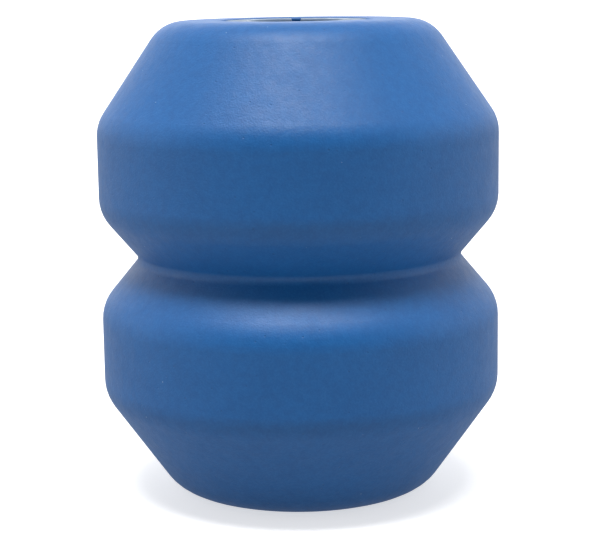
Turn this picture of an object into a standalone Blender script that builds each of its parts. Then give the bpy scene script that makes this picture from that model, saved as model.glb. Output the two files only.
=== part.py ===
"""Pipette filler bulb: a moulded rubber bellows with two lobes, a thumb vent valve in its crown,
and in its foot a filtered socket for the top end of a pipette.

Units are metres, +Z is up, and the origin is the centre of the foot's resting plane. Everything
but the bayonet, the air holes and the finger slots is turned about Z. Crown pieces are drawn from
the crown's plane, at height 0, downwards, and nose pieces from the foot's plane upwards.
"""

import math

import bmesh
import bpy
from mathutils import Matrix, Vector

MM = 0.001

# Clearances
TOUCH = 0.3 * MM  # between faces that touch on the real object
SLIDE = 0.25 * MM  # radial, between pieces that move in each other
CUT_PAST = 0.5 * MM  # how far a cutter passes the faces it opens

# Fineness
STEPS = 40  # facets round a large turned piece
FINE_STEPS = 24  # facets round a small one
ARC_STEPS = 4  # facets along a fillet
INNER_ARC_STEPS = 2  # facets along a fillet inside the bulb
HOLE_STEPS = 12  # facets round a drilled hole

# Bulb, outside. The lobes are mirrored about the waist, but for the cones at the ends.
LOBE_R = 26.0 * MM
WAIST_R = 20.9 * MM
BAND_H = 11.4 * MM
VALLEY_H = 6.1 * MM
CROWN_CONE_H = 12.9 * MM
CROWN_END_R = 17.2 * MM  # where the flat crown and its cone would meet
FOOT_CONE_H = 13.3 * MM
FOOT_END_R = 16.6 * MM
CROWN_FILLET = 5.1 * MM
FOOT_FILLET = 5.4 * MM
SHOULDER_FILLET = 5.2 * MM
WAIST_FILLET = 1.0 * MM
WAIST_H = FOOT_CONE_H + BAND_H + VALLEY_H
BULB_H = WAIST_H + VALLEY_H + BAND_H + CROWN_CONE_H

# Bulb, inside
WALL = 3.0 * MM
END_WALL = 4.0 * MM  # thicker, to hold the two hard inserts
RECESS_DEPTH = 1.6 * MM
INNER_FILLET = 1.5 * MM
END_LAND = 0.8 * MM  # least flat ring between a recess and its fillet

# Crown bush
CROWN_HOLE_R = 7.8 * MM
CROWN_FLANGE_W = 1.9 * MM  # recess past the hole
CROWN_SINK = 0.1 * MM  # bush top below the crown
BARB_OVERHANG = 1.4 * MM
BARB_H = 2.2 * MM
BUSH_WALL = 1.3 * MM
BUSH_FILLET = 0.4 * MM
SHELF_DEPTH = 7.0 * MM  # from the crown down to the shelf that carries the spring
SHELF_T = 1.6 * MM
SEAT_H = 0.5 * MM
SEAT_W = 0.5 * MM
SEAT_INSET = 0.3 * MM  # seat's outer edge inside the line of the bore
AIR_HOLE_R = 0.7 * MM
AIR_HOLE_COUNT = 6
AIR_GROOVE_W = 1.2 * MM
AIR_GROOVE_DEPTH = 0.5 * MM
AIR_GROOVE_COUNT = 4

# Vent button, stem, poppet
VENT_TRAVEL = 1.8 * MM
BUTTON_SINK = 0.3 * MM
BUTTON_T = 1.5 * MM
BUTTON_DISH = 0.4 * MM
BUTTON_FILLET = 0.5 * MM
SOCKET_DEPTH = 0.5 * MM  # stem's socket above the button's underside
SKIRT_T = 1.0 * MM
BOSS_WALL = 0.8 * MM
BOSS_H = 2.0 * MM
STEM_R = 1.5 * MM
STEM_NECK_R = 1.1 * MM
STEM_TAIL = 1.1 * MM  # below the clip
STEM_CHAMFER = 0.3 * MM
GROOVE_R = 0.75 * MM
POPPET_T = 1.3 * MM
POPPET_OVERLAP = 0.3 * MM  # past the seat's outer edge
WASHER_R = 4.6 * MM
WASHER_T = 0.8 * MM
CLIP_R = 2.5 * MM
CLIP_T = 0.6 * MM
CLIP_GAP_W = 1.3 * MM

# Vent spring
WIRE_R = 0.25 * MM
SPRING_TURNS = 4.5
SPRING_POINTS = 12  # a turn
END_TURN_RISE = 2.4 * WIRE_R  # of the first and the last turn

# Nose
FOOT_HOLE_R = 9.8 * MM
FOOT_FLANGE_W = 1.8 * MM
NOSE_SINK = 0.3 * MM  # flange above the foot's plane
NOSE_WALL = 1.8 * MM
NOSE_BARB_OVERHANG = 1.6 * MM
NOSE_BARB_H = 3.0 * MM
NOSE_FILLET = 0.8 * MM
EDGE_FILLET = 0.3 * MM  # flange and ring, at the foot
ROOF_T = 1.5 * MM
ROOF_HOLE_R = 0.9 * MM
ROOF_HOLE_COUNT = 6  # round the middle one
ROOF_WEB = 1.2 * MM  # between those holes and the gasket

# Chuck, filter
CHUCK_H = 15.7 * MM  # from the mouth to the filter
CHUCK_MOUTH_R = 4.5 * MM
CHUCK_END_R = 2.9 * MM
CHUCK_BORE_H = 13.0 * MM
CHUCK_PORT_R = 1.6 * MM
CHUCK_LIP = 0.8 * MM  # wall of the chuck where it passes the ring
CHUCK_LEAD_IN = 0.5 * MM
CHUCK_RIB = 0.25 * MM
CHUCK_RIBS = 4
RIB_SPREAD = 0.15  # half of a rib's share of its pitch
FILTER_T = 1.5 * MM
GASKET_T = 0.6 * MM
GASKET_W = 1.8 * MM

# Bayonet ring
RING_H = 3.0 * MM
LUG_T = 1.2 * MM
LUG_REACH = 1.0 * MM
LUG_ARC = math.radians(26)
LUG_COUNT = 2
RING_TURN = math.radians(60)
SLOT_SIDE_ANGLE = math.radians(2.5)  # play on each side of a lug
FINGER_SLOT_W = 1.4 * MM
FINGER_SLOT_DEPTH = 0.8 * MM

# Sizes that follow
CROWN_RECESS_R = CROWN_HOLE_R + CROWN_FLANGE_W
FOOT_RECESS_R = FOOT_HOLE_R + FOOT_FLANGE_W
BUSH_NECK_R = CROWN_HOLE_R - SLIDE
BUSH_BORE_R = BUSH_NECK_R - BUSH_WALL
BUTTON_R = BUSH_BORE_R - SLIDE
SHELF_BOTTOM = -(SHELF_DEPTH + SHELF_T)
SEAT_R = BUSH_BORE_R - SEAT_INSET
BOSS_R = STEM_R + SLIDE + BOSS_WALL
SPRING_R = BOSS_R + SLIDE + 2 * WIRE_R
AIR_HOLE_PCR = (SPRING_R + SEAT_R - SEAT_W) / 2
BUTTON_UNDERSIDE = -(BUTTON_SINK + BUTTON_T)
SOCKET_TOP = BUTTON_UNDERSIDE + SOCKET_DEPTH
POPPET_TOP = SHELF_BOTTOM - SEAT_H - TOUCH
WASHER_TOP = POPPET_TOP - POPPET_T - TOUCH
CLIP_TOP = WASHER_TOP - WASHER_T - TOUCH
NOSE_NECK_R = FOOT_HOLE_R - SLIDE
CAVITY_R = NOSE_NECK_R - NOSE_WALL
RING_R = CAVITY_R - SLIDE
RING_BOTTOM = NOSE_SINK
RING_TOP = RING_BOTTOM + RING_H
CHUCK_LIP_R = CHUCK_MOUTH_R + CHUCK_LIP
RING_BORE_R = CHUCK_LIP_R + SLIDE
CHUCK_TOP = NOSE_SINK + CHUCK_H
FILTER_BOTTOM = CHUCK_TOP + TOUCH
GASKET_BOTTOM = FILTER_BOTTOM + FILTER_T + TOUCH
ROOF_BOTTOM = GASKET_BOTTOM + GASKET_T + TOUCH
ROOF_HOLE_PCR = RING_R - GASKET_W - ROOF_WEB - ROOF_HOLE_R
NOSE_TOP = ROOF_BOTTOM + ROOF_T
LUG_BOTTOM = RING_TOP - TOUCH - LUG_T
SLOT_R = RING_R + LUG_REACH + SLIDE


# ---------------------------------------------------------------- outlines


def cross(a, b):
    return a.x * b.y - a.y * b.x


def inset(corners, depths):
    """Corners of the outline inside this one, where each side has moved in by its own depth."""
    sides = []
    for start, end, depth in zip(corners, corners[1:], depths):
        along = (end - start).normalized()
        inward = Vector((along.y, -along.x))
        sides.append((start + inward * depth, along))
    found = []
    for (p, along_p), (q, along_q) in zip(sides, sides[1:]):
        reach = cross(q - p, along_q) / cross(along_p, along_q)
        found.append(p + along_p * reach)
    return found


def rounded(corners):
    """Points of a closed outline. A corner is (radius, height), (radius, height, fillet) or
    (radius, height, fillet, facets), and a filleted one is an arc that touches both its sides."""
    points = []
    for i, corner in enumerate(corners):
        here = Vector(corner[:2])
        fillet = corner[2] if len(corner) > 2 else 0
        facets = corner[3] if len(corner) > 3 else ARC_STEPS
        if not fillet:
            points.append(here)
            continue
        before = (Vector(corners[i - 1][:2]) - here).normalized()
        after = (Vector(corners[(i + 1) % len(corners)][:2]) - here).normalized()
        half = before.angle(after) / 2
        centre = here + (before + after).normalized() * fillet / math.sin(half)
        start = here + before * fillet / math.tan(half) - centre
        end = here + after * fillet / math.tan(half) - centre
        sweep = start.angle_signed(end)
        for step in range(facets + 1):
            turn = Matrix.Rotation(-sweep * step / facets, 2)
            points.append(centre + turn @ start)
    return points


# ---------------------------------------------------------------- Blender helpers


def make_collection(name):
    collection = bpy.data.collections.new(name)
    bpy.context.scene.collection.children.link(collection)
    return collection


def make_material(name, colour, roughness, metallic=0.0):
    material = bpy.data.materials.new(name)
    material.use_nodes = True
    shader = material.node_tree.nodes["Principled BSDF"]
    shader.inputs["Base Color"].default_value = (*colour, 1.0)
    shader.inputs["Roughness"].default_value = roughness
    shader.inputs["Metallic"].default_value = metallic
    return material


def make_empty(name, height, parent=None):
    """A body's frame on the Z axis, at a height over its parent's."""
    empty = bpy.data.objects.new(name, None)
    empty.location.z = height
    empty.parent = parent
    PARTS.objects.link(empty)
    return empty


def make_object(name, data, material, parent):
    """A visible sub-part. One with no material is a cutter."""
    obj = bpy.data.objects.new(name, data)
    obj.parent = parent
    if material:
        data.materials.append(material)
        PARTS.objects.link(obj)
    else:
        obj.hide_render = True
        obj.display_type = "WIRE"
        CUTTERS.objects.link(obj)
    return obj


def turned(name, corners, material, parent, steps=STEPS):
    """A piece turned about Z from a closed outline, which runs down its outer side. An outline
    whose first and last corners lie on the axis is left open there."""
    outline = rounded(corners)
    mesh = bpy.data.meshes.new(name)
    edges = [(i, i + 1) for i in range(len(outline) - 1)]
    if outline[0].x > 0:
        edges.append((len(outline) - 1, 0))
    mesh.from_pydata([(p.x, 0, p.y) for p in outline], edges, [])
    obj = make_object(name, mesh, material, parent)
    screw = obj.modifiers.new("turn", "SCREW")
    screw.steps = screw.render_steps = steps
    screw.use_merge_vertices = True
    screw.merge_threshold = 0.01 * MM
    screw.use_smooth_shade = True
    return obj


def drill(name, radius, low, high, place, parent):
    """A round cutter along Z, for a wall between two heights: place is its (distance, angle)."""
    mesh = bpy.data.meshes.new(name)
    bm = bmesh.new()
    depth = high - low + 2 * CUT_PAST
    bmesh.ops.create_cone(
        bm, cap_ends=True, segments=HOLE_STEPS, radius1=radius, radius2=radius, depth=depth
    )
    bm.to_mesh(mesh)
    bm.free()
    cutter = make_object(name, mesh, None, parent)
    distance, angle = place
    cutter.location = (distance * math.cos(angle), distance * math.sin(angle), (low + high) / 2)
    return cutter


def block(name, low, high, angle, parent):
    """A box cutter from its lowest to its highest corner, then turned about Z."""
    low, high = Vector(low), Vector(high)
    mesh = bpy.data.meshes.new(name)
    bm = bmesh.new()
    bmesh.ops.create_cube(bm, size=1)
    bmesh.ops.scale(bm, vec=high - low, verts=bm.verts)
    bmesh.ops.translate(bm, vec=(low + high) / 2, verts=bm.verts)
    bm.to_mesh(mesh)
    bm.free()
    cutter = make_object(name, mesh, None, parent)
    cutter.rotation_euler.z = angle
    return cutter


def sector(name, radii, heights, start, arc, parent, steps=12):
    """Part of a ring, swept about Z from a start angle: radii and heights are (low, high)."""
    mesh = bpy.data.meshes.new(name)
    bm = bmesh.new()
    (r0, r1), (z0, z1) = radii, heights
    corners = [bm.verts.new(c) for c in ((r0, 0, z0), (r1, 0, z0), (r1, 0, z1), (r0, 0, z1))]
    face = bm.faces.new(corners)
    bmesh.ops.rotate(bm, cent=(0, 0, 0), matrix=Matrix.Rotation(start, 3, "Z"), verts=corners)
    bmesh.ops.spin(
        bm, geom=[face, *face.edges, *corners], cent=(0, 0, 0), axis=(0, 0, 1), angle=arc, steps=steps
    )
    bmesh.ops.recalc_face_normals(bm, faces=bm.faces)
    bm.to_mesh(mesh)
    bm.free()
    return make_object(name, mesh, None, parent)


def combine(target, operation, others):
    """Cuts the others from the target, or joins them to it."""
    for other in others:
        modifier = target.modifiers.new(other.name, "BOOLEAN")
        modifier.operation = operation
        modifier.object = other


def around(count):
    """Angles of a pattern of that many places."""
    return [2 * math.pi * i / count for i in range(count)]


# ---------------------------------------------------------------- bulb


def end_fillet(wanted, cone_h, end_r, recess_r):
    """The wanted fillet of a flat end, or the largest that leaves its land beside the recess."""
    half = (math.pi - math.atan2(cone_h, LOBE_R - end_r)) / 2
    return min(wanted, (end_r - recess_r - END_LAND) * math.tan(half))


def make_bulb(parent):
    """The moulded bellows, drawn from the crown down its outer side and back up inside."""
    outer = [
        Vector((CROWN_END_R, BULB_H)),
        Vector((LOBE_R, BULB_H - CROWN_CONE_H)),
        Vector((LOBE_R, WAIST_H + VALLEY_H)),
        Vector((WAIST_R, WAIST_H)),
        Vector((LOBE_R, WAIST_H - VALLEY_H)),
        Vector((LOBE_R, FOOT_CONE_H)),
        Vector((FOOT_END_R, 0)),
    ]
    outer_fillets = [
        end_fillet(CROWN_FILLET, CROWN_CONE_H, CROWN_END_R, CROWN_RECESS_R),
        SHOULDER_FILLET,
        SHOULDER_FILLET,
        WAIST_FILLET,
        SHOULDER_FILLET,
        SHOULDER_FILLET,
        end_fillet(FOOT_FILLET, FOOT_CONE_H, FOOT_END_R, FOOT_RECESS_R),
    ]
    with_axis = [Vector((0, BULB_H)), *outer, Vector((0, 0))]
    depths = [END_WALL, *[WALL] * (len(outer) - 1), END_WALL]
    inner = inset(with_axis, depths)
    inner_fillets = [max(fillet - WALL, INNER_FILLET) for fillet in outer_fillets]
    inner_fillets[3] = WAIST_FILLET + WALL
    corners = [(CROWN_RECESS_R, BULB_H)]
    corners += [(p.x, p.y, fillet) for p, fillet in zip(outer, outer_fillets)]
    corners += [
        (FOOT_RECESS_R, 0),
        (FOOT_RECESS_R, RECESS_DEPTH),
        (FOOT_HOLE_R, RECESS_DEPTH),
        (FOOT_HOLE_R, END_WALL),
    ]
    inner_corners = [(p.x, p.y, r, INNER_ARC_STEPS) for p, r in zip(inner, inner_fillets)]
    corners += reversed(inner_corners)
    corners += [
        (CROWN_HOLE_R, BULB_H - END_WALL),
        (CROWN_HOLE_R, BULB_H - RECESS_DEPTH),
        (CROWN_RECESS_R, BULB_H - RECESS_DEPTH),
    ]
    turned("bulb", corners, BULB_RUBBER, parent)


# ---------------------------------------------------------------- crown and vent valve


def make_crown_bush(parent):
    """Flange in the crown's recess, neck through the rubber, snap barb and shelf inside."""
    flange_r = CROWN_RECESS_R - SLIDE
    flange_bottom = -(RECESS_DEPTH - TOUCH)
    barb_top = -(END_WALL + TOUCH)
    bush = turned(
        "crown_bush",
        [
            (BUSH_BORE_R, -CROWN_SINK),
            (flange_r, -CROWN_SINK, BUSH_FILLET),
            (flange_r, flange_bottom),
            (BUSH_NECK_R, flange_bottom),
            (BUSH_NECK_R, barb_top),
            (BUSH_NECK_R + BARB_OVERHANG, barb_top),
            (BUSH_NECK_R, barb_top - BARB_H),
            (BUSH_NECK_R, SHELF_BOTTOM),
            (SEAT_R, SHELF_BOTTOM),
            (SEAT_R, SHELF_BOTTOM - SEAT_H),
            (SEAT_R - SEAT_W, SHELF_BOTTOM - SEAT_H),
            (SEAT_R - SEAT_W, SHELF_BOTTOM),
            (STEM_R + SLIDE, SHELF_BOTTOM),
            (STEM_R + SLIDE, -SHELF_DEPTH),
            (BUSH_BORE_R, -SHELF_DEPTH),
        ],
        GREY_PLASTIC,
        parent,
    )
    cutters = []
    for i, angle in enumerate(around(AIR_HOLE_COUNT)):
        place = (AIR_HOLE_PCR, angle)
        cutters.append(drill(f"air_hole_{i}", AIR_HOLE_R, SHELF_BOTTOM, -SHELF_DEPTH, place, parent))
    groove_low = (BUTTON_R, -AIR_GROOVE_W / 2, -CROWN_SINK - AIR_GROOVE_DEPTH)
    groove_high = (CROWN_RECESS_R, AIR_GROOVE_W / 2, CUT_PAST)
    for i, angle in enumerate(around(AIR_GROOVE_COUNT)):
        cutters.append(block(f"air_groove_{i}", groove_low, groove_high, angle, parent))
    combine(bush, "DIFFERENCE", cutters)


def make_vent_button(parent):
    """Cap with a skirt, which stops on the shelf, and a boss that grips the stem. Its top is
    dished as a parabola."""
    dish = [(share * BUTTON_R, -BUTTON_SINK - BUTTON_DISH * (1 - share**2)) for share in (0, 0.5)]
    skirt_bottom = -SHELF_DEPTH + TOUCH + VENT_TRAVEL
    boss_bottom = BUTTON_UNDERSIDE - BOSS_H
    turned(
        "vent_button",
        [
            *dish,
            (BUTTON_R, -BUTTON_SINK, BUTTON_FILLET),
            (BUTTON_R, skirt_bottom),
            (BUTTON_R - SKIRT_T, skirt_bottom),
            (BUTTON_R - SKIRT_T, BUTTON_UNDERSIDE),
            (BOSS_R, BUTTON_UNDERSIDE),
            (BOSS_R, boss_bottom),
            (STEM_R + SLIDE, boss_bottom),
            (STEM_R + SLIDE, SOCKET_TOP),
            (0, SOCKET_TOP),
        ],
        BLUE_PLASTIC,
        parent,
        FINE_STEPS,
    )


def make_vent_stem(parent):
    """Pin with a shoulder on the poppet and a groove for the clip."""
    top = SOCKET_TOP - TOUCH
    shoulder = POPPET_TOP + SLIDE
    groove_top = CLIP_TOP + SLIDE
    groove_bottom = CLIP_TOP - CLIP_T - SLIDE
    tail = groove_bottom - STEM_TAIL
    turned(
        "vent_stem",
        [
            (0, top),
            (STEM_R - STEM_CHAMFER, top),
            (STEM_R, top - STEM_CHAMFER),
            (STEM_R, shoulder),
            (STEM_NECK_R, shoulder),
            (STEM_NECK_R, groove_top),
            (GROOVE_R, groove_top),
            (GROOVE_R, groove_bottom),
            (STEM_NECK_R, groove_bottom),
            (STEM_NECK_R, tail + STEM_CHAMFER),
            (STEM_NECK_R - STEM_CHAMFER, tail),
            (0, tail),
        ],
        STEEL,
        parent,
        FINE_STEPS,
    )


def washer(name, outer_r, inner_r, top, thickness, material, parent):
    """A flat ring turned about Z."""
    corners = [
        (inner_r, top),
        (outer_r, top),
        (outer_r, top - thickness),
        (inner_r, top - thickness),
    ]
    return turned(name, corners, material, parent, FINE_STEPS)


def make_vent_closure(parent):
    """Poppet, its backing washer and the clip that holds both on the stem."""
    bore = STEM_NECK_R + SLIDE
    poppet_r = SEAT_R + POPPET_OVERLAP
    washer("vent_poppet", poppet_r, bore, POPPET_TOP, POPPET_T, BLACK_RUBBER, parent)
    washer("poppet_washer", WASHER_R, bore, WASHER_TOP, WASHER_T, STEEL, parent)
    clip = washer("stem_clip", CLIP_R, GROOVE_R + SLIDE, CLIP_TOP, CLIP_T, STEEL, parent)
    gap_low = (0, -CLIP_GAP_W / 2, CLIP_TOP - CLIP_T - CUT_PAST)
    gap_high = (CLIP_R + CUT_PAST, CLIP_GAP_W / 2, CLIP_TOP + CUT_PAST)
    combine(clip, "DIFFERENCE", [block("clip_gap", gap_low, gap_high, 0, parent)])


def make_vent_spring(parent):
    """Coil from the shelf to the button, its first and last turn lying almost flat."""
    bottom = -SHELF_DEPTH + TOUCH + WIRE_R
    top = BUTTON_UNDERSIDE - TOUCH - WIRE_R
    count = round(SPRING_TURNS * SPRING_POINTS)
    curve = bpy.data.curves.new("vent_spring", "CURVE")
    curve.dimensions = "3D"
    curve.bevel_depth = WIRE_R
    curve.bevel_resolution = 2
    curve.use_fill_caps = True
    spline = curve.splines.new("POLY")
    spline.points.add(count)
    flat_turn = 1 / SPRING_TURNS
    closed_share = END_TURN_RISE / (top - bottom)
    for i, point in enumerate(spline.points):
        along = i / count
        if along < flat_turn:
            rise = closed_share * along / flat_turn
        elif along > 1 - flat_turn:
            rise = 1 - closed_share * (1 - along) / flat_turn
        else:
            middle = (along - flat_turn) / (1 - 2 * flat_turn)
            rise = closed_share + middle * (1 - 2 * closed_share)
        angle = 2 * math.pi * SPRING_TURNS * along
        x, y = SPRING_R * math.cos(angle), SPRING_R * math.sin(angle)
        point.co = (x, y, bottom + rise * (top - bottom), 1)
    make_object("vent_spring", curve, STEEL, parent)


# ---------------------------------------------------------------- nose and chuck


def make_nose_body(parent):
    """Holder snapped in the foot: flange, neck, barb, barrel and a perforated roof."""
    flange_r = FOOT_RECESS_R - SLIDE
    flange_top = RECESS_DEPTH - TOUCH
    barb_bottom = END_WALL + TOUCH
    nose = turned(
        "nose_body",
        [
            (0, NOSE_TOP),
            (NOSE_NECK_R, NOSE_TOP, NOSE_FILLET),
            (NOSE_NECK_R, barb_bottom + NOSE_BARB_H),
            (NOSE_NECK_R + NOSE_BARB_OVERHANG, barb_bottom),
            (NOSE_NECK_R, barb_bottom),
            (NOSE_NECK_R, flange_top),
            (flange_r, flange_top),
            (flange_r, NOSE_SINK, EDGE_FILLET),
            (CAVITY_R, NOSE_SINK),
            (CAVITY_R, ROOF_BOTTOM),
            (0, ROOF_BOTTOM),
        ],
        GREY_PLASTIC,
        parent,
    )
    places = [(0, 0), *[(ROOF_HOLE_PCR, angle) for angle in around(ROOF_HOLE_COUNT)]]
    cutters = [
        drill(f"roof_hole_{i}", ROOF_HOLE_R, ROOF_BOTTOM, NOSE_TOP, place, parent)
        for i, place in enumerate(places)
    ]
    radii = (CAVITY_R - CUT_PAST, SLOT_R)
    arc = LUG_ARC + 2 * SLOT_SIDE_ANGLE
    lock_heights = (LUG_BOTTOM - TOUCH, LUG_BOTTOM + LUG_T + TOUCH)
    entry_heights = (NOSE_SINK - CUT_PAST, LUG_BOTTOM + LUG_T / 2)
    for i, angle in enumerate(around(LUG_COUNT)):
        first = angle - arc / 2 - RING_TURN
        cutters.append(sector(f"lock_slot_{i}", radii, lock_heights, first, arc + RING_TURN, parent))
        cutters.append(sector(f"entry_slot_{i}", radii, entry_heights, first, arc, parent))
    combine(nose, "DIFFERENCE", cutters)


def make_pipette_chuck(parent):
    """Soft tapered socket: a lip through the ring, a body against the cavity, ribs in the bore."""
    mouth = NOSE_SINK
    bore_end = mouth + CHUCK_BORE_H
    shoulder = RING_TOP + TOUCH
    bore = []
    for i in range(CHUCK_RIBS):
        for share, rib in ((0.5 - RIB_SPREAD, 0), (0.5, CHUCK_RIB), (0.5 + RIB_SPREAD, 0)):
            along = (i + share) / CHUCK_RIBS
            radius = CHUCK_MOUTH_R + along * (CHUCK_END_R - CHUCK_MOUTH_R) - rib
            bore.append((radius, mouth + along * CHUCK_BORE_H))
    turned(
        "pipette_chuck",
        [
            (CHUCK_PORT_R, CHUCK_TOP),
            (RING_R, CHUCK_TOP),
            (RING_R, shoulder),
            (CHUCK_LIP_R, shoulder),
            (CHUCK_LIP_R, mouth),
            (CHUCK_MOUTH_R + CHUCK_LEAD_IN / 2, mouth),
            (CHUCK_MOUTH_R, mouth + CHUCK_LEAD_IN),
            *bore,
            (CHUCK_END_R, bore_end),
            (CHUCK_PORT_R, bore_end),
        ],
        BLACK_RUBBER,
        parent,
        FINE_STEPS,
    )


def make_filter(parent):
    """Porous disc on top of the chuck, and the gasket between its rim and the roof."""
    turned(
        "filter_disc",
        [
            (0, FILTER_BOTTOM + FILTER_T),
            (RING_R, FILTER_BOTTOM + FILTER_T),
            (RING_R, FILTER_BOTTOM),
            (0, FILTER_BOTTOM),
        ],
        FILTER_WHITE,
        parent,
        FINE_STEPS,
    )
    top = GASKET_BOTTOM + GASKET_T
    washer("filter_gasket", RING_R, RING_R - GASKET_W, top, GASKET_T, BLACK_RUBBER, parent)


def make_chuck_ring(parent):
    """Bayonet ring under the chuck, with two lugs and two slots for a fingernail."""
    ring = turned(
        "chuck_ring",
        [
            (RING_BORE_R, RING_TOP),
            (RING_R, RING_TOP),
            (RING_R, RING_BOTTOM),
            (RING_BORE_R, RING_BOTTOM, EDGE_FILLET),
        ],
        BLUE_PLASTIC,
        parent,
    )
    radii = ((RING_BORE_R + RING_R) / 2, RING_R + LUG_REACH)
    heights = (LUG_BOTTOM, LUG_BOTTOM + LUG_T)
    slot_low = (CHUCK_LIP_R, -FINGER_SLOT_W / 2, RING_BOTTOM - CUT_PAST)
    slot_high = (RING_R + CUT_PAST, FINGER_SLOT_W / 2, RING_BOTTOM + FINGER_SLOT_DEPTH)
    lugs = []
    slots = []
    for i, angle in enumerate(around(LUG_COUNT)):
        first = angle - LUG_ARC / 2
        lugs.append(sector(f"lug_{i}", radii, heights, first, LUG_ARC, parent, steps=5))
        slots.append(block(f"finger_slot_{i}", slot_low, slot_high, angle + math.pi / 2, parent))
    combine(ring, "UNION", lugs)
    combine(ring, "DIFFERENCE", slots)


# ---------------------------------------------------------------- assembly

for old in list(bpy.data.objects):
    bpy.data.objects.remove(old)

PARTS = make_collection("pipette_filler_bulb")
CUTTERS = make_collection("cutters")

BULB_RUBBER = make_material("bulb_rubber", (0.045, 0.165, 0.42), 0.5)
GREY_PLASTIC = make_material("grey_plastic", (0.42, 0.45, 0.48), 0.4)
BLUE_PLASTIC = make_material("blue_plastic", (0.05, 0.12, 0.26), 0.35)
BLACK_RUBBER = make_material("black_rubber", (0.03, 0.03, 0.032), 0.6)
FILTER_WHITE = make_material("filter_white", (0.85, 0.85, 0.82), 0.9)
STEEL = make_material("steel", (0.62, 0.62, 0.6), 0.3, 1.0)

base_frame = make_empty("base_frame", 0)
ring_frame = make_empty("ring_frame", 0, base_frame)
crown_frame = make_empty("crown_frame", BULB_H, base_frame)
vent_frame = make_empty("vent_frame", 0, crown_frame)

make_bulb(base_frame)
make_nose_body(base_frame)
make_pipette_chuck(base_frame)
make_filter(base_frame)
make_chuck_ring(ring_frame)
make_crown_bush(crown_frame)
make_vent_spring(crown_frame)
make_vent_button(vent_frame)
make_vent_stem(vent_frame)
make_vent_closure(vent_frame)
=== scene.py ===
"""Looks of the pipette filler bulb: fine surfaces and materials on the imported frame.

Almost every piece is an outline of (radius, height) points carried round the Z axis, so its surface
is P(s, t) = (r(s) cos t, r(s) sin t, z(s)), worked out as whole arrays. A warp changes r, z or t
where a slot, groove or lug breaks the roundness. Outlines are in millimetres.
"""

import math

import bpy
import numpy as np
from mathutils import Euler, Matrix, Vector


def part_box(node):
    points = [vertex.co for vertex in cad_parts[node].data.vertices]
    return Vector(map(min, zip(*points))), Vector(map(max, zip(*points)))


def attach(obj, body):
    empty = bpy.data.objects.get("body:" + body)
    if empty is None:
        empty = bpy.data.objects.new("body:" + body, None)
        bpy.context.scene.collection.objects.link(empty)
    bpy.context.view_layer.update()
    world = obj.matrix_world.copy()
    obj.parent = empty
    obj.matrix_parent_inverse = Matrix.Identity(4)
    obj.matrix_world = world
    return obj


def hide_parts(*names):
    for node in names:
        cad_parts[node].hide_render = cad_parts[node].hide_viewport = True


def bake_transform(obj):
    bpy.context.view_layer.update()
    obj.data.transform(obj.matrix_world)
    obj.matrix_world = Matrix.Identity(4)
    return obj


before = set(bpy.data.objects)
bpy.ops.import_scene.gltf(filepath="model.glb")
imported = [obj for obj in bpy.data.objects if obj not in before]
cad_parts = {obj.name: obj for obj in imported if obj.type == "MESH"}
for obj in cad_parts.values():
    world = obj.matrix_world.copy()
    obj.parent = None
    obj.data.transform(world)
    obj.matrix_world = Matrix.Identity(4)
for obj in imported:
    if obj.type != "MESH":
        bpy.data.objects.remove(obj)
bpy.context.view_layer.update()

MM = 0.001


def extent(node):
    """Outer radius, lowest and highest height of a CAD node, in millimetres."""
    low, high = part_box(node)
    return high.x / MM, low.z / MM, high.z / MM


# ---------------------------------------------------------------- sizes, in millimetres

SLIDE = 0.25
TOUCH = 0.3

# Bulb
LOBE_R, FOOT, CROWN = extent("bulb")
WAIST_R = 20.9
BAND_H = 11.4
VALLEY_H = 6.1
CROWN_CONE_H = 12.9
CROWN_END_R = 17.2
FOOT_CONE_H = 13.3
FOOT_END_R = 16.6
WAIST = FOOT_CONE_H + BAND_H + VALLEY_H
WALL = 3.0
END_WALL = 4.0
RECESS_DEPTH = 1.6
CROWN_HOLE_R = 7.8
CROWN_RECESS_R = 9.7
FOOT_HOLE_R = 9.8
FOOT_RECESS_R = 11.6
CROWN_FILLET = 5.1
FOOT_FILLET = 5.4
SHOULDER_FILLET = 5.2
WAIST_FILLET = 1.0
INNER_FILLET = 1.5
LIP_FILLET = 0.35
UNEVEN = 0.04  # depth of the moulding's slow waves
PARTING_DEPTH = 0.05
PARTING_W = 0.16

# Crown bush
BUSH_R, BUSH_BOTTOM, BUSH_TOP = extent("crown_bush")
BUSH_NECK_R = CROWN_HOLE_R - SLIDE
BUSH_BORE_R = 6.25
BARB_OVERHANG = 1.4
BARB_H = 2.2
SHELF_T = 1.6
SEAT_H = 0.5
SEAT_W = 0.5
SEAT_R = 5.95
AIR_HOLE_R = 0.7
AIR_HOLE_PCR = 4.375
AIR_HOLES = 6
GROOVE_W = 1.2
GROOVE_DEPTH = 0.5
GROOVES = 4

# Vent button, stem, poppet, spring
BUTTON_R, BUTTON_BOTTOM, BUTTON_TOP = extent("vent_button")
BUTTON_T = 1.5
BUTTON_DISH = 0.4
SKIRT_T = 1.0
BOSS_R = 2.55
BOSS_H = 2.0
SOCKET_DEPTH = 0.5
GRIP_RINGS = (1.7, 2.7, 3.7)
GRIP_W = 0.5
GRIP_DEPTH = 0.12
STEM_R, STEM_BOTTOM, STEM_TOP = extent("vent_stem")
STEM_NECK_R = 1.1
STEM_GROOVE_R = 0.75
STEM_CHAMFER = 0.3
CLIP_GAP_W = 1.3
SPRING_TURNS = 4.5
END_TURN_RISE = 0.6
WIRE_R = 0.25

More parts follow.
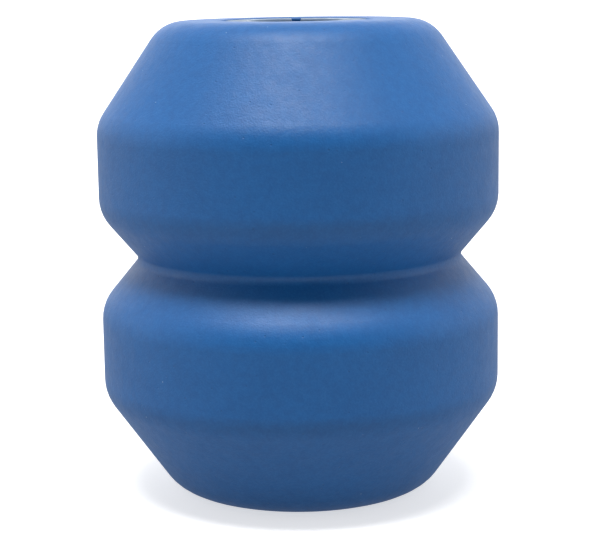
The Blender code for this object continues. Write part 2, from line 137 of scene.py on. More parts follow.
# Nose, chuck, filter, ring
NOSE_R, NOSE_BOTTOM, NOSE_TOP = extent("nose_body")
NOSE_NECK_R = FOOT_HOLE_R - SLIDE
CAVITY_R = 7.75
NOSE_BARB_OVERHANG = 1.6
NOSE_BARB_H = 3.0
ROOF_T = 1.5
ROOF_HOLE_R = 0.9
ROOF_HOLE_PCR = 3.6
ROOF_HOLES = 6
CHUCK_R, CHUCK_BOTTOM, CHUCK_TOP = extent("pipette_chuck")
CHUCK_LIP_R = 5.3
CHUCK_MOUTH_R = 4.5
CHUCK_END_R = 2.9
CHUCK_BORE_H = 13.0
CHUCK_PORT_R = 1.6
CHUCK_RIB = 0.25
CHUCK_RIBS = 4
CHUCK_RIB_SHARE = 0.15  # half a rib's width, as a share of the way from rib to rib
RING_REACH, RING_BOTTOM, RING_TOP = extent("chuck_ring")
RING_R = CHUCK_R
RING_BORE_R = CHUCK_LIP_R + SLIDE
LUG_T = 1.2
LUG_TOP = RING_TOP - TOUCH
LUG_ARC = 26.0
RING_TURN = 60.0
SLOT_R = RING_REACH + SLIDE
SLOT_PLAY = 2.5
FINGER_SLOT_W = 1.4
FINGER_SLOT_DEPTH = 0.8
FILTER_RIPPLE = 0.02

# Fineness
HOLD = 0.05  # distance of the points that keep a flat run flat beside a fillet
ARC_TURN = math.radians(8)
SOFT_EDGE = 0.14  # width over which a slot's wall falls
ROD_TURN = 0.05  # radians
CUT_PAST = 0.3  # how far a cutter reaches past each face
SHARP = math.radians(40)


# ---------------------------------------------------------------- outlines


def unit(vector):
    """The vector divided by its length."""
    return vector / np.linalg.norm(vector)


def fillet_points(before, here, after, radius):
    """Points of the arc that touches both sides of a corner, centred on the bisector at
    radius / sin(half the corner's angle)."""
    a, b = unit(before - here), unit(after - here)
    half = math.acos(np.clip(a @ b, -1, 1)) / 2
    centre = here + unit(a + b) * radius / math.sin(half)
    start = here + a * radius / math.tan(half) - centre
    end = here + b * radius / math.tan(half) - centre
    first = math.atan2(start[1], start[0])
    sweep = (math.atan2(end[1], end[0]) - first + math.pi) % (2 * math.pi) - math.pi
    turn = first + sweep * np.linspace(0, 1, max(3, math.ceil(abs(sweep) / ARC_TURN)) + 1)
    return centre + radius * np.stack([np.cos(turn), np.sin(turn)], 1)


def outline(corners, closed=True, run=2.5):
    """An array of (radius, height, mark) along an outline that runs down its outer side. A corner is
    (radius, height, fillet, mark), the last two being 0 if left out. Straight runs get a point near
    each end and one every so often between."""
    full = [tuple(c) + (0,) * (4 - len(c)) for c in corners]
    flat = [np.array(c[:2], float) for c in full]
    arcs = []
    for i, (_, _, fillet, mark) in enumerate(full):
        points = flat[i][None]
        if fillet:
            points = fillet_points(flat[i - 1], flat[i], flat[(i + 1) % len(flat)], fillet)
        arcs.append(np.column_stack([points, np.full(len(points), mark)]))
    parts = []
    for i, arc in enumerate(arcs):
        parts.append(arc)
        if i == len(arcs) - 1 and not closed:
            break
        start, end = arc[-1], arcs[(i + 1) % len(arcs)][0]
        length = np.linalg.norm((end - start)[:2])
        if length > 4 * HOLD:
            count = max(2, math.ceil(length / run) + 1)
            share = np.linspace(HOLD / length, 1 - HOLD / length, count)[:, None]
            between = start + share * (end - start)
            between[:, 2] = arc[-1, 2]
            parts.append(between)
    return np.concatenate(parts)


def inset(corners, depths):
    """Corners of an outline inside this one: each side moves in by its own depth, and neighbours
    are crossed again."""
    corners = np.array(corners, float)
    along = np.diff(corners, axis=0)
    along /= np.linalg.norm(along, axis=1)[:, None]
    starts = corners[:-1] + np.column_stack([along[:, 1], -along[:, 0]]) * np.array(depths)[:, None]
    p, q, u, v = starts[:-1], starts[1:], along[:-1], along[1:]
    step = q - p
    reach = (step[:, 0] * v[:, 1] - step[:, 1] * v[:, 0]) / (u[:, 0] * v[:, 1] - u[:, 1] * v[:, 0])
    return p + u * reach[:, None]


def smooth(x, start, end):
    """0 before start, 1 after end, and 3x^2 - 2x^3 between."""
    x = np.clip((x - start) / (end - start), 0, 1)
    return x * x * (3 - 2 * x)


def circle(count, *dense):
    """Angles round a circle, with extra ones close to each angle (in radians) in dense, within
    the reach given beside it."""
    angles = [np.linspace(0, 2 * math.pi, count, endpoint=False)]
    for centre, reach in dense:
        angles.append((centre + reach * np.linspace(-1, 1, 9)) % (2 * math.pi))
    angles = np.unique(np.round(np.concatenate(angles), 6))
    near = np.diff(angles, append=angles[0] + 2 * math.pi) > 1e-4
    return angles[near]


# ---------------------------------------------------------------- meshes


def make_piece(name, grid, closed=True):
    """A mesh from a grid of points (rows, columns, xyz) in millimetres, whose columns go right
    round. Rows go round as well if closed. Points that meet become one, as at a pole."""
    rows, columns = grid.shape[:2]
    i = np.arange(rows if closed else rows - 1)[:, None]
    j = np.arange(columns)[None]
    below, beside = (i + 1) % rows, (j + 1) % columns
    quads = np.stack(
        np.broadcast_arrays(
            i * columns + j, below * columns + j, below * columns + beside, i * columns + beside
        ),
        -1,
    ).reshape(-1, 4)
    points = grid.reshape(-1, 3) * MM
    _, first, same = np.unique(np.round(points / 1e-6), axis=0, return_index=True, return_inverse=True)
    points, quads = points[first], same.reshape(-1)[quads]
    meets = quads == np.roll(quads, -1, 1)
    faces = quads[~meets.any(1)].tolist()
    for corner in range(4):
        pinched = quads[meets[:, corner] & (meets.sum(1) == 1)]
        faces += np.delete(pinched, corner, 1).tolist()
    mesh = bpy.data.meshes.new(name)
    mesh.from_pydata(points.tolist(), [], faces)
    mesh.shade_smooth()
    mesh.set_sharp_from_angle(angle=SHARP)
    piece = bpy.data.objects.new(name, mesh)
    bpy.context.scene.collection.objects.link(piece)
    return piece


def turned(name, line, angles, closed=True, warp=None):
    """The outline carried round Z: P(s, t) = (r cos t, r sin t, z), after the warp, if there is
    one, has changed r, z and t."""
    r, z, mark = (column[:, None] for column in line.T)
    t = np.broadcast_to(np.asarray(angles)[None], (len(line), len(angles)))
    if warp:
        r, z, t = warp(r, z, t, mark)
    r, z, t = np.broadcast_arrays(r, z, t)
    return make_piece(name, np.stack([r * np.cos(t), r * np.sin(t), z], -1), closed)


def rods(name, radius, low, high, distance, count, sides=28):
    """Upright round rods on a circle, as one cutter. Each is turned a little, so that none of its
    edges lies in a seam of the piece that it cuts."""
    t = np.linspace(0, 2 * math.pi, sides, endpoint=False) + ROD_TURN
    ring = radius * np.stack([np.cos(t), np.sin(t)], 1)
    lower = np.arange(sides)
    beside = np.roll(lower, -1)
    walls = np.stack([lower, beside, beside + sides, lower + sides], 1)
    points, faces = [], []
    for k in range(count):
        angle = 2 * math.pi * k / count
        centre = distance * np.array([math.cos(angle), math.sin(angle)])
        for height in (low, high):
            points.append(np.column_stack([ring + centre, np.full(sides, height)]))
        base = 2 * k * sides
        faces += (base + walls).tolist()
        faces += [(base + lower[::-1]).tolist(), (base + sides + lower).tolist()]
    mesh = bpy.data.meshes.new(name)
    mesh.from_pydata((np.concatenate(points) * MM).tolist(), [], faces)
    cutter = bpy.data.objects.new(name, mesh)
    bpy.context.scene.collection.objects.link(cutter)
    return cutter


def bore_out(piece, cutter):
    """Cuts the cutter from the piece for good, and removes it."""
    cut = piece.modifiers.new("holes", "BOOLEAN")
    cut.object = cutter
    shape = piece.evaluated_get(bpy.context.evaluated_depsgraph_get())
    mesh = bpy.data.meshes.new_from_object(shape)
    piece.modifiers.remove(cut)
    piece.data = mesh
    mesh.set_sharp_from_angle(angle=SHARP)
    bpy.data.objects.remove(cutter)


def dress(piece, node, material):
    """The piece stands for a CAD node, in a material."""
    piece.data.materials.clear()
    piece.data.materials.append(material)
    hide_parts(node)


# ---------------------------------------------------------------- materials


class Finish:
    """A Principled material, and short calls that add the nodes behind its sockets. Patterns read
    Object coordinates, and their sizes are in millimetres."""

    def __init__(self, name, **sockets):
        """Constants go straight to the shader's sockets, whose spaces are written as underscores."""
        self.material = bpy.data.materials.new(name)
        self.material.use_nodes = True
        self.tree = self.material.node_tree
        self.shader = self.tree.nodes["Principled BSDF"]
        for socket, value in sockets.items():
            self.set(socket.replace("_", " "), value)
        self.place = self.add("ShaderNodeTexCoord").outputs["Object"]

    def set(self, socket, value):
        """A constant, or a link from a node's output."""
        self.put(self.shader.inputs[socket], value)

    def put(self, target, value):
        """Links an output to the target socket, or sets the socket to a constant."""
        if isinstance(value, bpy.types.NodeSocket):
            self.tree.links.new(value, target)
        else:
            target.default_value = value

    def add(self, kind, **settings):
        """A new node of that kind."""
        node = self.tree.nodes.new(kind)
        for key, value in settings.items():
            setattr(node, key, value)
        return node

    def stretch(self, x, y, z):
        """Object coordinates scaled along each axis, for grain that runs one way."""
        node = self.add("ShaderNodeMapping")
        self.put(node.inputs["Vector"], self.place)
        node.inputs["Scale"].default_value = (x, y, z)
        return node.outputs["Vector"]

    def noise(self, size, detail=2.0, roughness=0.5, where=None):
        """Soft noise from 0 to 1 with features of about that size."""
        node = self.add("ShaderNodeTexNoise")
        self.put(node.inputs["Vector"], where or self.place)
        node.inputs["Scale"].default_value = 1 / (size * MM)
        node.inputs["Detail"].default_value = detail
        node.inputs["Roughness"].default_value = roughness
        return node.outputs["Fac"]

    def dots(self, spacing, radius, share, soft=0.5):
        """1 inside small scattered balls, in that share of cells of that spacing, and 0 outside."""
        node = self.add("ShaderNodeTexVoronoi")
        self.put(node.inputs["Vector"], self.place)
        node.inputs["Scale"].default_value = 1 / (spacing * MM)
        inside = self.fade(node.outputs["Distance"], radius / spacing, soft * radius / spacing)
        split = self.add("ShaderNodeSeparateColor")
        self.put(split.inputs["Color"], node.outputs["Color"])
        chosen = self.maths("LESS_THAN", split.outputs["Red"], share)
        return self.maths("MULTIPLY", inside, chosen)

    def fade(self, value, start, end, low=0.0, high=1.0):
        """Goes smoothly from low to high as the value goes from start to end."""
        node = self.add("ShaderNodeMapRange", interpolation_type="SMOOTHSTEP")
        sockets = ("Value", "From Min", "From Max", "To Min", "To Max")
        for socket, content in zip(sockets, (value, start, end, low, high)):
            self.put(node.inputs[socket], content)
        return node.outputs["Result"]

    def maths(self, operation, first, second=0.0):
        """One sum of two values."""
        node = self.add("ShaderNodeMath", operation=operation)
        self.put(node.inputs[0], first)
        self.put(node.inputs[1], second)
        return node.outputs["Value"]

    def blend(self, share, first, second):
        """A colour between two others."""
        node = self.add("ShaderNodeMix", data_type="RGBA")
        self.put(node.inputs["Factor"], share)
        colours = [s for s in node.inputs if s.type == "RGBA"]
        for socket, colour in zip(colours, (first, second)):
            self.put(socket, colour)
        return [s for s in node.outputs if s.type == "RGBA"][0]

    def bump(self, *layers):
        """Chained bumps: each layer is (height from 0 to 1, its depth in millimetres)."""
        normal = None
        for height, depth in layers:
            node = self.add("ShaderNodeBump")
            self.put(node.inputs["Height"], height)
            node.inputs["Distance"].default_value = abs(depth) * MM
            node.invert = depth < 0
            if normal:
                self.put(node.inputs["Normal"], normal)
            normal = node.outputs["Normal"]
        self.set("Normal", normal)


def opaque(r, g, b):
    """A colour with full cover."""
    return (r, g, b, 1.0)


def bulb_rubber():
    """Matte moulded rubber: fine grain, shallow pits whose colour is darkened as painted shade inside
    them, and a few specks of dust.
    """
    f = Finish("blue_bulb_rubber", IOR=1.5)
    cloud = f.fade(f.noise(7.0, 3.0), 0.3, 0.7)
    grain = f.noise(0.24, 2.0, 0.6)
    mottle = f.noise(0.9, 3.0, 0.6)
    pits = f.dots(1.1, 0.16, 0.3, soft=0.3)
    dust = f.dots(2.2, 0.09, 0.5)
    colour = f.blend(cloud, opaque(0.001, 0.099, 0.330), opaque(0.002, 0.109, 0.357))
    colour = f.blend(f.fade(grain, 0.35, 0.7, 0.0, 0.36), colour, opaque(0.016, 0.150, 0.420))
    colour = f.blend(f.fade(mottle, 0.35, 0.7, 0.0, 0.22), colour, opaque(0.001, 0.060, 0.220))
    # Painted shade: the pits' colour is darkened where shade falls inside the dents.
    colour = f.blend(f.maths("MULTIPLY", pits, 0.3), colour, opaque(0.001, 0.050, 0.180))
    colour = f.blend(f.maths("MULTIPLY", dust, 0.5), colour, opaque(0.40, 0.54, 0.66))
    f.set("Base Color", colour)
    f.set("Roughness", f.fade(f.noise(1.6, 4.0, 0.6), 0.25, 0.75, 0.47, 0.55))
    f.bump((f.noise(3.2, 2.0), 0.03), (mottle, 0.03), (grain, 0.03), (pits, -0.03), (dust, 0.02))
    return f.material


def moulded_plastic(name, deep, pale, low, high):
    """Injection-moulded plastic with a fine spark-eroded texture, rubbed smoother in patches."""
    f = Finish(name, IOR=1.48)
    cloud = f.noise(3.0, 4.0, 0.6)
    grain = f.noise(0.11, 2.0, 0.55)
    rub = f.fade(f.noise(1.7, 5.0, 0.65), 0.42, 0.62)
    colour = f.blend(f.fade(cloud, 0.3, 0.7), opaque(*deep), opaque(*pale))
    worn = f.maths("MULTIPLY", f.fade(grain, 0.4, 0.8), 0.25)
    f.set("Base Color", f.blend(worn, colour, opaque(*pale)))
    f.set("Roughness", f.fade(rub, 0, 1, high, low))
    scratch = f.noise(0.5, 3.0, 0.7, f.stretch(1, 9, 9))
    f.bump((grain, 0.012), (f.fade(scratch, 0.62, 0.7), -0.006))
    return f.material


def black_silicone():
    """Soft black silicone with a dusty bloom."""
    f = Finish("black_silicone", IOR=1.41)
    bloom = f.fade(f.noise(1.4, 5.0, 0.65), 0.35, 0.75)
    f.set("Base Color", f.blend(bloom, opaque(0.017, 0.017, 0.019), opaque(0.04, 0.041, 0.044)))
    f.set("Roughness", f.fade(bloom, 0, 1, 0.42, 0.62))
    f.bump((f.noise(0.18, 3.0), 0.014), (f.noise(1.2, 2.0), 0.02))
    return f.material


def sintered_filter():
    """Sintered white beads: rounded cells with dark gaps between."""
    f = Finish("sintered_filter", Roughness=0.85, IOR=1.35)
    node = f.add("ShaderNodeTexVoronoi")
    f.put(node.inputs["Vector"], f.place)
    node.inputs["Scale"].default_value = 1 / (0.24 * MM)
    gap = f.fade(node.outputs["Distance"], 0.35, 0.85)
    f.set("Base Color", f.blend(gap, opaque(0.86, 0.86, 0.83), opaque(0.42, 0.42, 0.40)))
    f.bump((gap, -0.06), (f.noise(0.07, 2.0), 0.01))
    return f.material


def turned_steel(name, along, across):
    """Stainless steel with fine tool marks, which are stretched as given."""
    f = Finish(name, Metallic=1.0)
    marks = f.noise(0.12, 3.0, 0.6, f.stretch(along, along, across))
    stain = f.fade(f.noise(1.1, 4.0, 0.6), 0.35, 0.7)
    f.set("Base Color", f.blend(stain, opaque(0.60, 0.60, 0.59), opaque(0.49, 0.49, 0.48)))
    f.set("Roughness", f.fade(marks, 0.2, 0.8, 0.22, 0.42))
    f.bump((marks, 0.004))
    return f.material


# ---------------------------------------------------------------- bulb


def make_bulb(material):
    """The moulded bellows. Its outside sinks by slow waves in angle and height, and by a fine
    valley where the two mould halves meet, at t = 0 and t = pi."""
    outer = [
        (CROWN_END_R, CROWN),
        (LOBE_R, CROWN - CROWN_CONE_H),
        (LOBE_R, WAIST + VALLEY_H),
        (WAIST_R, WAIST),
        (LOBE_R, WAIST - VALLEY_H),
        (LOBE_R, FOOT_CONE_H),
        (FOOT_END_R, FOOT),
    ]
    shoulders = [SHOULDER_FILLET, SHOULDER_FILLET]
    fillets = [CROWN_FILLET, *shoulders, WAIST_FILLET, *shoulders, FOOT_FILLET]
    depths = [END_WALL] + [WALL] * (len(outer) - 1) + [END_WALL]
    inner = inset([(0, CROWN), *outer, (0, FOOT)], depths)
    inner_fillets = [max(fillet - WALL, INNER_FILLET) for fillet in fillets]
    inner_fillets[3] = WAIST_FILLET + WALL
    corners = [(CROWN_RECESS_R, CROWN, LIP_FILLET, 1)]
    corners += [(*point, fillet, 1) for point, fillet in zip(outer, fillets)]
    corners += [
        (FOOT_RECESS_R, FOOT, LIP_FILLET, 1),
        (FOOT_RECESS_R, FOOT + RECESS_DEPTH, 0.2),
        (FOOT_HOLE_R, FOOT + RECESS_DEPTH, 0.2),
        (FOOT_HOLE_R, FOOT + END_WALL, 0.3),
    ]
    corners += [(*point, fillet) for point, fillet in zip(inner[::-1], inner_fillets[::-1])]
    corners += [
        (CROWN_HOLE_R, CROWN - END_WALL, 0.3),
        (CROWN_HOLE_R, CROWN - RECESS_DEPTH, 0.2),
        (CROWN_RECESS_R, CROWN - RECESS_DEPTH, 0.2),
    ]

    def sink(r, z, t, mark):
        """r - mark * (waves in t and z, from 0 to the full depth, and a bell-shaped valley)."""
        waves = np.sin(3 * t + 0.8 * np.sin(z / 9)) * np.cos(z / 11 + 1.3) + np.sin(2 * t + z / 14)
        parting = np.exp(-((np.sin(t) * LOBE_R / PARTING_W) ** 2))
        drop = UNEVEN * (2 + waves) / 4 + PARTING_DEPTH * parting
        return r - mark * drop, z, t

    reach = 3 * PARTING_W / LOBE_R
    angles = circle(240, (0, reach), (math.pi, reach))
    bulb = turned("bulb_moulding", outline(corners, run=1.2), angles, warp=sink)
    dress(bulb, "bulb", material)
    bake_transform(bulb)


# ---------------------------------------------------------------- crown and vent valve


def spokes(count, first, width, gaps):
    """Columns for straight slots of that width, pointing outwards from the axis, the first at an
    angle. Each column is (slot's angle, side, distance from the slot's middle, share of the way
    from the slot's edge to halfway to the next slot). gaps holds the shares used there."""
    edge = (width + SOFT_EDGE) / 2
    middle = np.linspace(0, edge - SOFT_EDGE, 4)
    wall = np.linspace(edge - SOFT_EDGE, edge, 7)[1:]
    near = [(d, 0.0) for d in np.concatenate([middle, wall])]
    half = near + [(edge, v) for v in gaps]
    columns = []
    for k in range(count):
        angle = first + 2 * math.pi * k / count
        columns += [(angle, -1, d, v) for d, v in reversed(half[1:])]
        columns += [(angle, 1, d, v) for d, v in half[:-1]]
    return np.array(columns).T


def spoke_angle(columns, r, count):
    """Angle of each column at radius r: asin(distance / r) off the slot's middle, blended with
    halfway to the next slot."""
    angle, side, distance, share = columns
    off = np.arcsin(np.clip(distance / np.maximum(r, distance + 0.1), 0, 1))
    return angle + side * (off * (1 - share) + math.pi / count * share)


def in_slot(columns, width):
    """1 in a slot, falling smoothly to 0 over its soft wall."""
    edge = (width + SOFT_EDGE) / 2
    return 1 - smooth(columns[2], edge - SOFT_EDGE, edge)


def make_crown_bush(material):
    """Flange, neck, barb, shelf and seat, with air grooves across the flange, which its top sinks
    into, and air holes through the shelf."""
    flange_bottom = CROWN - RECESS_DEPTH + TOUCH
    barb_top = CROWN - END_WALL - TOUCH
    shelf_bottom = BUSH_BOTTOM + SEAT_H
    seat_in = SEAT_R - SEAT_W
    stem_bore = STEM_R + SLIDE
    line = outline(
        [
            (BUSH_BORE_R, BUSH_TOP, 0.3, 1),
            (BUSH_R, BUSH_TOP, 0.4, 1),
            (BUSH_R, flange_bottom, 0.15),
            (BUSH_NECK_R, flange_bottom, 0.15),
            (BUSH_NECK_R, barb_top, 0.15),
            (BUSH_NECK_R + BARB_OVERHANG, barb_top, 0.15),
            (BUSH_NECK_R, barb_top - BARB_H, 0.5),
            (BUSH_NECK_R, shelf_bottom, 0.4),
            (SEAT_R, shelf_bottom, 0.1),
            (SEAT_R, BUSH_BOTTOM, 0.15),
            (seat_in, BUSH_BOTTOM, 0.15),
            (seat_in, shelf_bottom, 0.1),
            (stem_bore, shelf_bottom, 0.2),
            (stem_bore, shelf_bottom + SHELF_T, 0.2),
            (BUSH_BORE_R, shelf_bottom + SHELF_T, 0.3),
        ],
        run=1.5,
    )
    columns = spokes(GROOVES, 0, GROOVE_W, np.linspace(0, 1, 26)[1:])
    depth = GROOVE_DEPTH * in_slot(columns, GROOVE_W)
    floor = BUSH_TOP - depth

    def groove(r, z, t, mark):
        """Lowers the top by the slots' depth, and less further down."""
        top = BUSH_TOP - 2 * GROOVE_DEPTH
        share = np.clip((z - top) / (BUSH_TOP - top), 0, 1)
        lowered = z - share * (BUSH_TOP - floor)
        return r, lowered, spoke_angle(columns, r, GROOVES)

    bush = turned("crown_bush_moulding", line, columns[0], warp=groove)
    low, high = shelf_bottom - CUT_PAST, shelf_bottom + SHELF_T + CUT_PAST
    bore_out(bush, rods("air_holes", AIR_HOLE_R, low, high, AIR_HOLE_PCR, AIR_HOLES))
    dress(bush, "crown_bush", material)
    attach(bush, "crown")


def make_vent_button(material):
    """Cap with a parabolic dish, z = top - dish (1 - r^2 / R^2), and cosine-shaped grip rings."""
    underside = BUTTON_TOP - BUTTON_T
    socket_r = STEM_R + SLIDE
    line = outline(
        [
            (0, BUTTON_TOP, 0, 1),
            (BUTTON_R, BUTTON_TOP, 0.5, 1),
            (BUTTON_R, BUTTON_BOTTOM, 0.2),
            (BUTTON_R - SKIRT_T, BUTTON_BOTTOM, 0.2),
            (BUTTON_R - SKIRT_T, underside, 0.3),
            (BOSS_R, underside, 0.3),
            (BOSS_R, underside - BOSS_H, 0.2),
            (socket_r, underside - BOSS_H, 0.2),
            (socket_r, underside + SOCKET_DEPTH, 0.15),
            (0, underside + SOCKET_DEPTH),
        ],
        closed=False,
        run=0.08,
    )

    def dish(r, z, t, mark):
        """z - the parabola and the rings, on the top only."""
        on_top = smooth(z, BUTTON_TOP - 0.6, BUTTON_TOP - 0.3) * mark
        sunk = BUTTON_DISH * np.clip(1 - (r / BUTTON_R) ** 2, 0, 1)
        for ring in GRIP_RINGS:
            near = np.clip(np.abs(r - ring) / (GRIP_W / 2), 0, 1)
            sunk = sunk + GRIP_DEPTH * (1 + np.cos(math.pi * near)) / 2
        return r, z - on_top * sunk, t

    button = turned("vent_button_cap", line, circle(144), closed=False, warp=dish)
    dress(button, "vent_button", material)
    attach(button, "vent")


def make_vent_stem(material):
    """Turned pin with chamfered ends, a shoulder and the clip's groove."""
    _, _, poppet_top = extent("vent_poppet")
    _, clip_bottom, clip_top = extent("stem_clip")
    shoulder = poppet_top + SLIDE
    tail = STEM_BOTTOM + STEM_CHAMFER
    line = outline(
        [
            (0, STEM_TOP),
            (STEM_R - STEM_CHAMFER, STEM_TOP, 0.06),
            (STEM_R, STEM_TOP - STEM_CHAMFER, 0.06),
            (STEM_R, shoulder, 0.06),
            (STEM_NECK_R, shoulder, 0.06),
            (STEM_NECK_R, clip_top + SLIDE, 0.05),
            (STEM_GROOVE_R, clip_top + SLIDE, 0.05),
            (STEM_GROOVE_R, clip_bottom - SLIDE, 0.05),
            (STEM_NECK_R, clip_bottom - SLIDE, 0.05),
            (STEM_NECK_R, tail, 0.06),
            (STEM_NECK_R - STEM_CHAMFER, STEM_BOTTOM, 0.06),
            (0, STEM_BOTTOM),
        ],
        closed=False,
        run=1.0,
    )
    stem = turned("vent_stem_pin", line, circle(72), closed=False)
    dress(stem, "vent_stem", material)
    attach(stem, "vent")


def make_washer(name, node, material, body, bore, edge, angles=72):
    """A flat ring with rounded edges, as thick and as wide as its CAD node."""
    radius, low, high = extent(node)
    corners = [(bore, high, edge), (radius, high, edge), (radius, low, edge), (bore, low, edge)]
    piece = turned(name, outline(corners, run=0.8), circle(angles))
    dress(piece, node, material)
    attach(piece, body)


def make_stem_clip(material):
    """Open ring: the section is carried from one end of the gap to the other, and closed there."""
    radius, low, high = extent("stem_clip")
    bore = STEM_GROOVE_R + SLIDE
    corners = [(bore, high, 0.08), (radius, high, 0.08), (radius, low, 0.08), (bore, low, 0.08)]
    line = outline(corners, run=0.6)
    share = np.linspace(-1, 1, 61)[None]
    r, z = line[:, 0][:, None], line[:, 1][:, None]
    gap = np.arcsin(np.clip(CLIP_GAP_W / 2 / r, 0, 1))
    t = math.pi + share * (math.pi - gap)
    body = np.stack(np.broadcast_arrays(r * np.cos(t), r * np.sin(t), z), -1)
    ends = body[:, [0, -1]].mean(0)
    start = np.broadcast_to(ends[0], (len(line), 1, 3))
    stop = np.broadcast_to(ends[1], (len(line), 1, 3))
    tube = np.concatenate([start, body, stop], 1).transpose(1, 0, 2)[::-1]
    clip = make_piece("stem_circlip", tube, closed=False)
    dress(clip, "stem_clip", material)
    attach(clip, "vent")


def make_vent_spring(material):
    """Round wire carried along a coil with flat end turns, ground level at both ends."""
    reach, low, high = extent("vent_spring")
    coil_r = reach - WIRE_R
    along = np.linspace(0, 1, 191)
    flat = 1 / SPRING_TURNS
    bottom, top = low + WIRE_R, high - WIRE_R
    closed_rise = END_TURN_RISE / (top - bottom)
    middle = closed_rise + (along - flat) / (1 - 2 * flat) * (1 - 2 * closed_rise)
    rise = np.where(along < flat, closed_rise * along / flat, middle)
    rise = np.where(along > 1 - flat, 1 - closed_rise * (1 - along) / flat, rise)
    angle = 2 * math.pi * SPRING_TURNS * along
    out = np.stack([np.cos(angle), np.sin(angle), 0 * angle], 1)
    centre = coil_r * out
    centre[:, 2] = bottom + rise * (top - bottom)
    forward = np.gradient(centre, axis=0)
    forward /= np.linalg.norm(forward, axis=1)[:, None]
    up = np.cross(out, forward)
    centre = np.concatenate([centre[:1], centre, centre[-1:]])
    out = np.concatenate([out[:1], out, out[-1:]])
    up = np.concatenate([up[:1], up, up[-1:]])
    thick = np.full(len(centre), WIRE_R)
    thick[[0, -1]] = 0
    t = np.linspace(0, 2 * math.pi, 14, endpoint=False)
    around = np.cos(t)[None, :, None] * out[:, None] + np.sin(t)[None, :, None] * up[:, None]
    grid = centre[:, None] + thick[:, None, None] * around
    spring = make_piece("vent_spring_coil", grid, closed=False)
    dress(spring, "vent_spring", material)
    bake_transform(spring)


# ---------------------------------------------------------------- nose, chuck, filter, ring


def in_arc(t, centre, width, soft=1.0):
    """1 where t is within half the width of the centre or of the point opposite, all in degrees,
    falling to 0 over a soft edge."""
    off = np.abs((np.degrees(t) - centre + 90) % 180 - 90)
    return 1 - smooth(off, width / 2 - soft / 2, width / 2 + soft / 2)


def make_nose_body(material):
    """Flange, neck, barb, barrel and roof. The bayonet's slots push the cavity wall out to the
    slot's radius: marks 1 where a lug enters, 2 where it turns."""
    barb_bottom = FOOT + END_WALL + TOUCH
    flange_top = FOOT + RECESS_DEPTH - TOUCH
    low, high = LUG_TOP - LUG_T - TOUCH, LUG_TOP + TOUCH
    line = outline(
        [
            (ROOF_HOLE_R, NOSE_TOP, 0.15),
            (NOSE_NECK_R, NOSE_TOP, 0.8),
            (NOSE_NECK_R, barb_bottom + NOSE_BARB_H, 0.8),
            (NOSE_NECK_R + NOSE_BARB_OVERHANG, barb_bottom, 0.2),
            (NOSE_NECK_R, barb_bottom, 0.15),
            (NOSE_NECK_R, flange_top, 0.15),
            (NOSE_R, flange_top, 0.2),
            (NOSE_R, NOSE_BOTTOM, 0.3, 1),
            (CAVITY_R, NOSE_BOTTOM, 0.15, 1),
            (CAVITY_R, low, 0, 1),
            (CAVITY_R, low, 0, 2),
            (CAVITY_R, high, 0, 2),
            (CAVITY_R, high),
            (CAVITY_R, NOSE_TOP - ROOF_T, 0.3),
            (ROOF_HOLE_R, NOSE_TOP - ROOF_T, 0.15),
        ],
        run=1.5,
    )
    entry_w = LUG_ARC + 2 * SLOT_PLAY
    lock_w = entry_w + RING_TURN

    def slots(r, z, t, mark):
        """Pushes the cavity wall out where a lug enters or turns."""
        entry = in_arc(t, -RING_TURN, entry_w)
        lock = in_arc(t, -RING_TURN / 2, lock_w)
        inside = np.where(mark == 1, entry, np.where(mark == 2, lock, 0))
        return r + inside * np.maximum(SLOT_R - r, 0), z, t

    edges = []
    for turn in (0, 180):
        for angle in (-RING_TURN - entry_w / 2, -RING_TURN + entry_w / 2, entry_w / 2):
            edges.append((math.radians(angle + turn), math.radians(0.7)))
    nose = turned("nose_moulding", line, circle(150, *edges), warp=slots)
    bottom, top = NOSE_TOP - ROOF_T - CUT_PAST, NOSE_TOP + CUT_PAST
    bore_out(nose, rods("roof_holes", ROOF_HOLE_R, bottom, top, ROOF_HOLE_PCR, ROOF_HOLES))
    dress(nose, "nose_body", material)
    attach(nose, "base")


def make_pipette_chuck(material):
    """Soft socket. Its bore tapers evenly, with a rounded rib in the middle of each quarter."""
    shoulder = RING_TOP + TOUCH
    bore_end = CHUCK_BOTTOM + CHUCK_BORE_H
    line = outline(
        [
            (CHUCK_PORT_R, CHUCK_TOP, 0.2),
            (CHUCK_R, CHUCK_TOP, 0.3),
            (CHUCK_R, shoulder, 0.2),
            (CHUCK_LIP_R, shoulder, 0.2),
            (CHUCK_LIP_R, CHUCK_BOTTOM, 0.15),
            (CHUCK_MOUTH_R, CHUCK_BOTTOM, 0.25, 1),
            (CHUCK_END_R, bore_end, 0.2, 0),
            (CHUCK_PORT_R, bore_end, 0.2),
        ],
        run=0.12,
    )

    def ribs(r, z, t, mark):
        """r - rib (1 + cos(pi x)) / 2, where x is the distance from the rib's middle."""
        share = (z - CHUCK_BOTTOM) / CHUCK_BORE_H * CHUCK_RIBS
        off = np.abs(share - np.floor(share) - 0.5) / CHUCK_RIB_SHARE
        rib = CHUCK_RIB * (1 + np.cos(math.pi * np.clip(off, 0, 1))) / 2
        return r - mark * rib, z, t

    chuck = turned("pipette_chuck_sleeve", line, circle(120), warp=ribs)
    dress(chuck, "pipette_chuck", material)
    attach(chuck, "base")


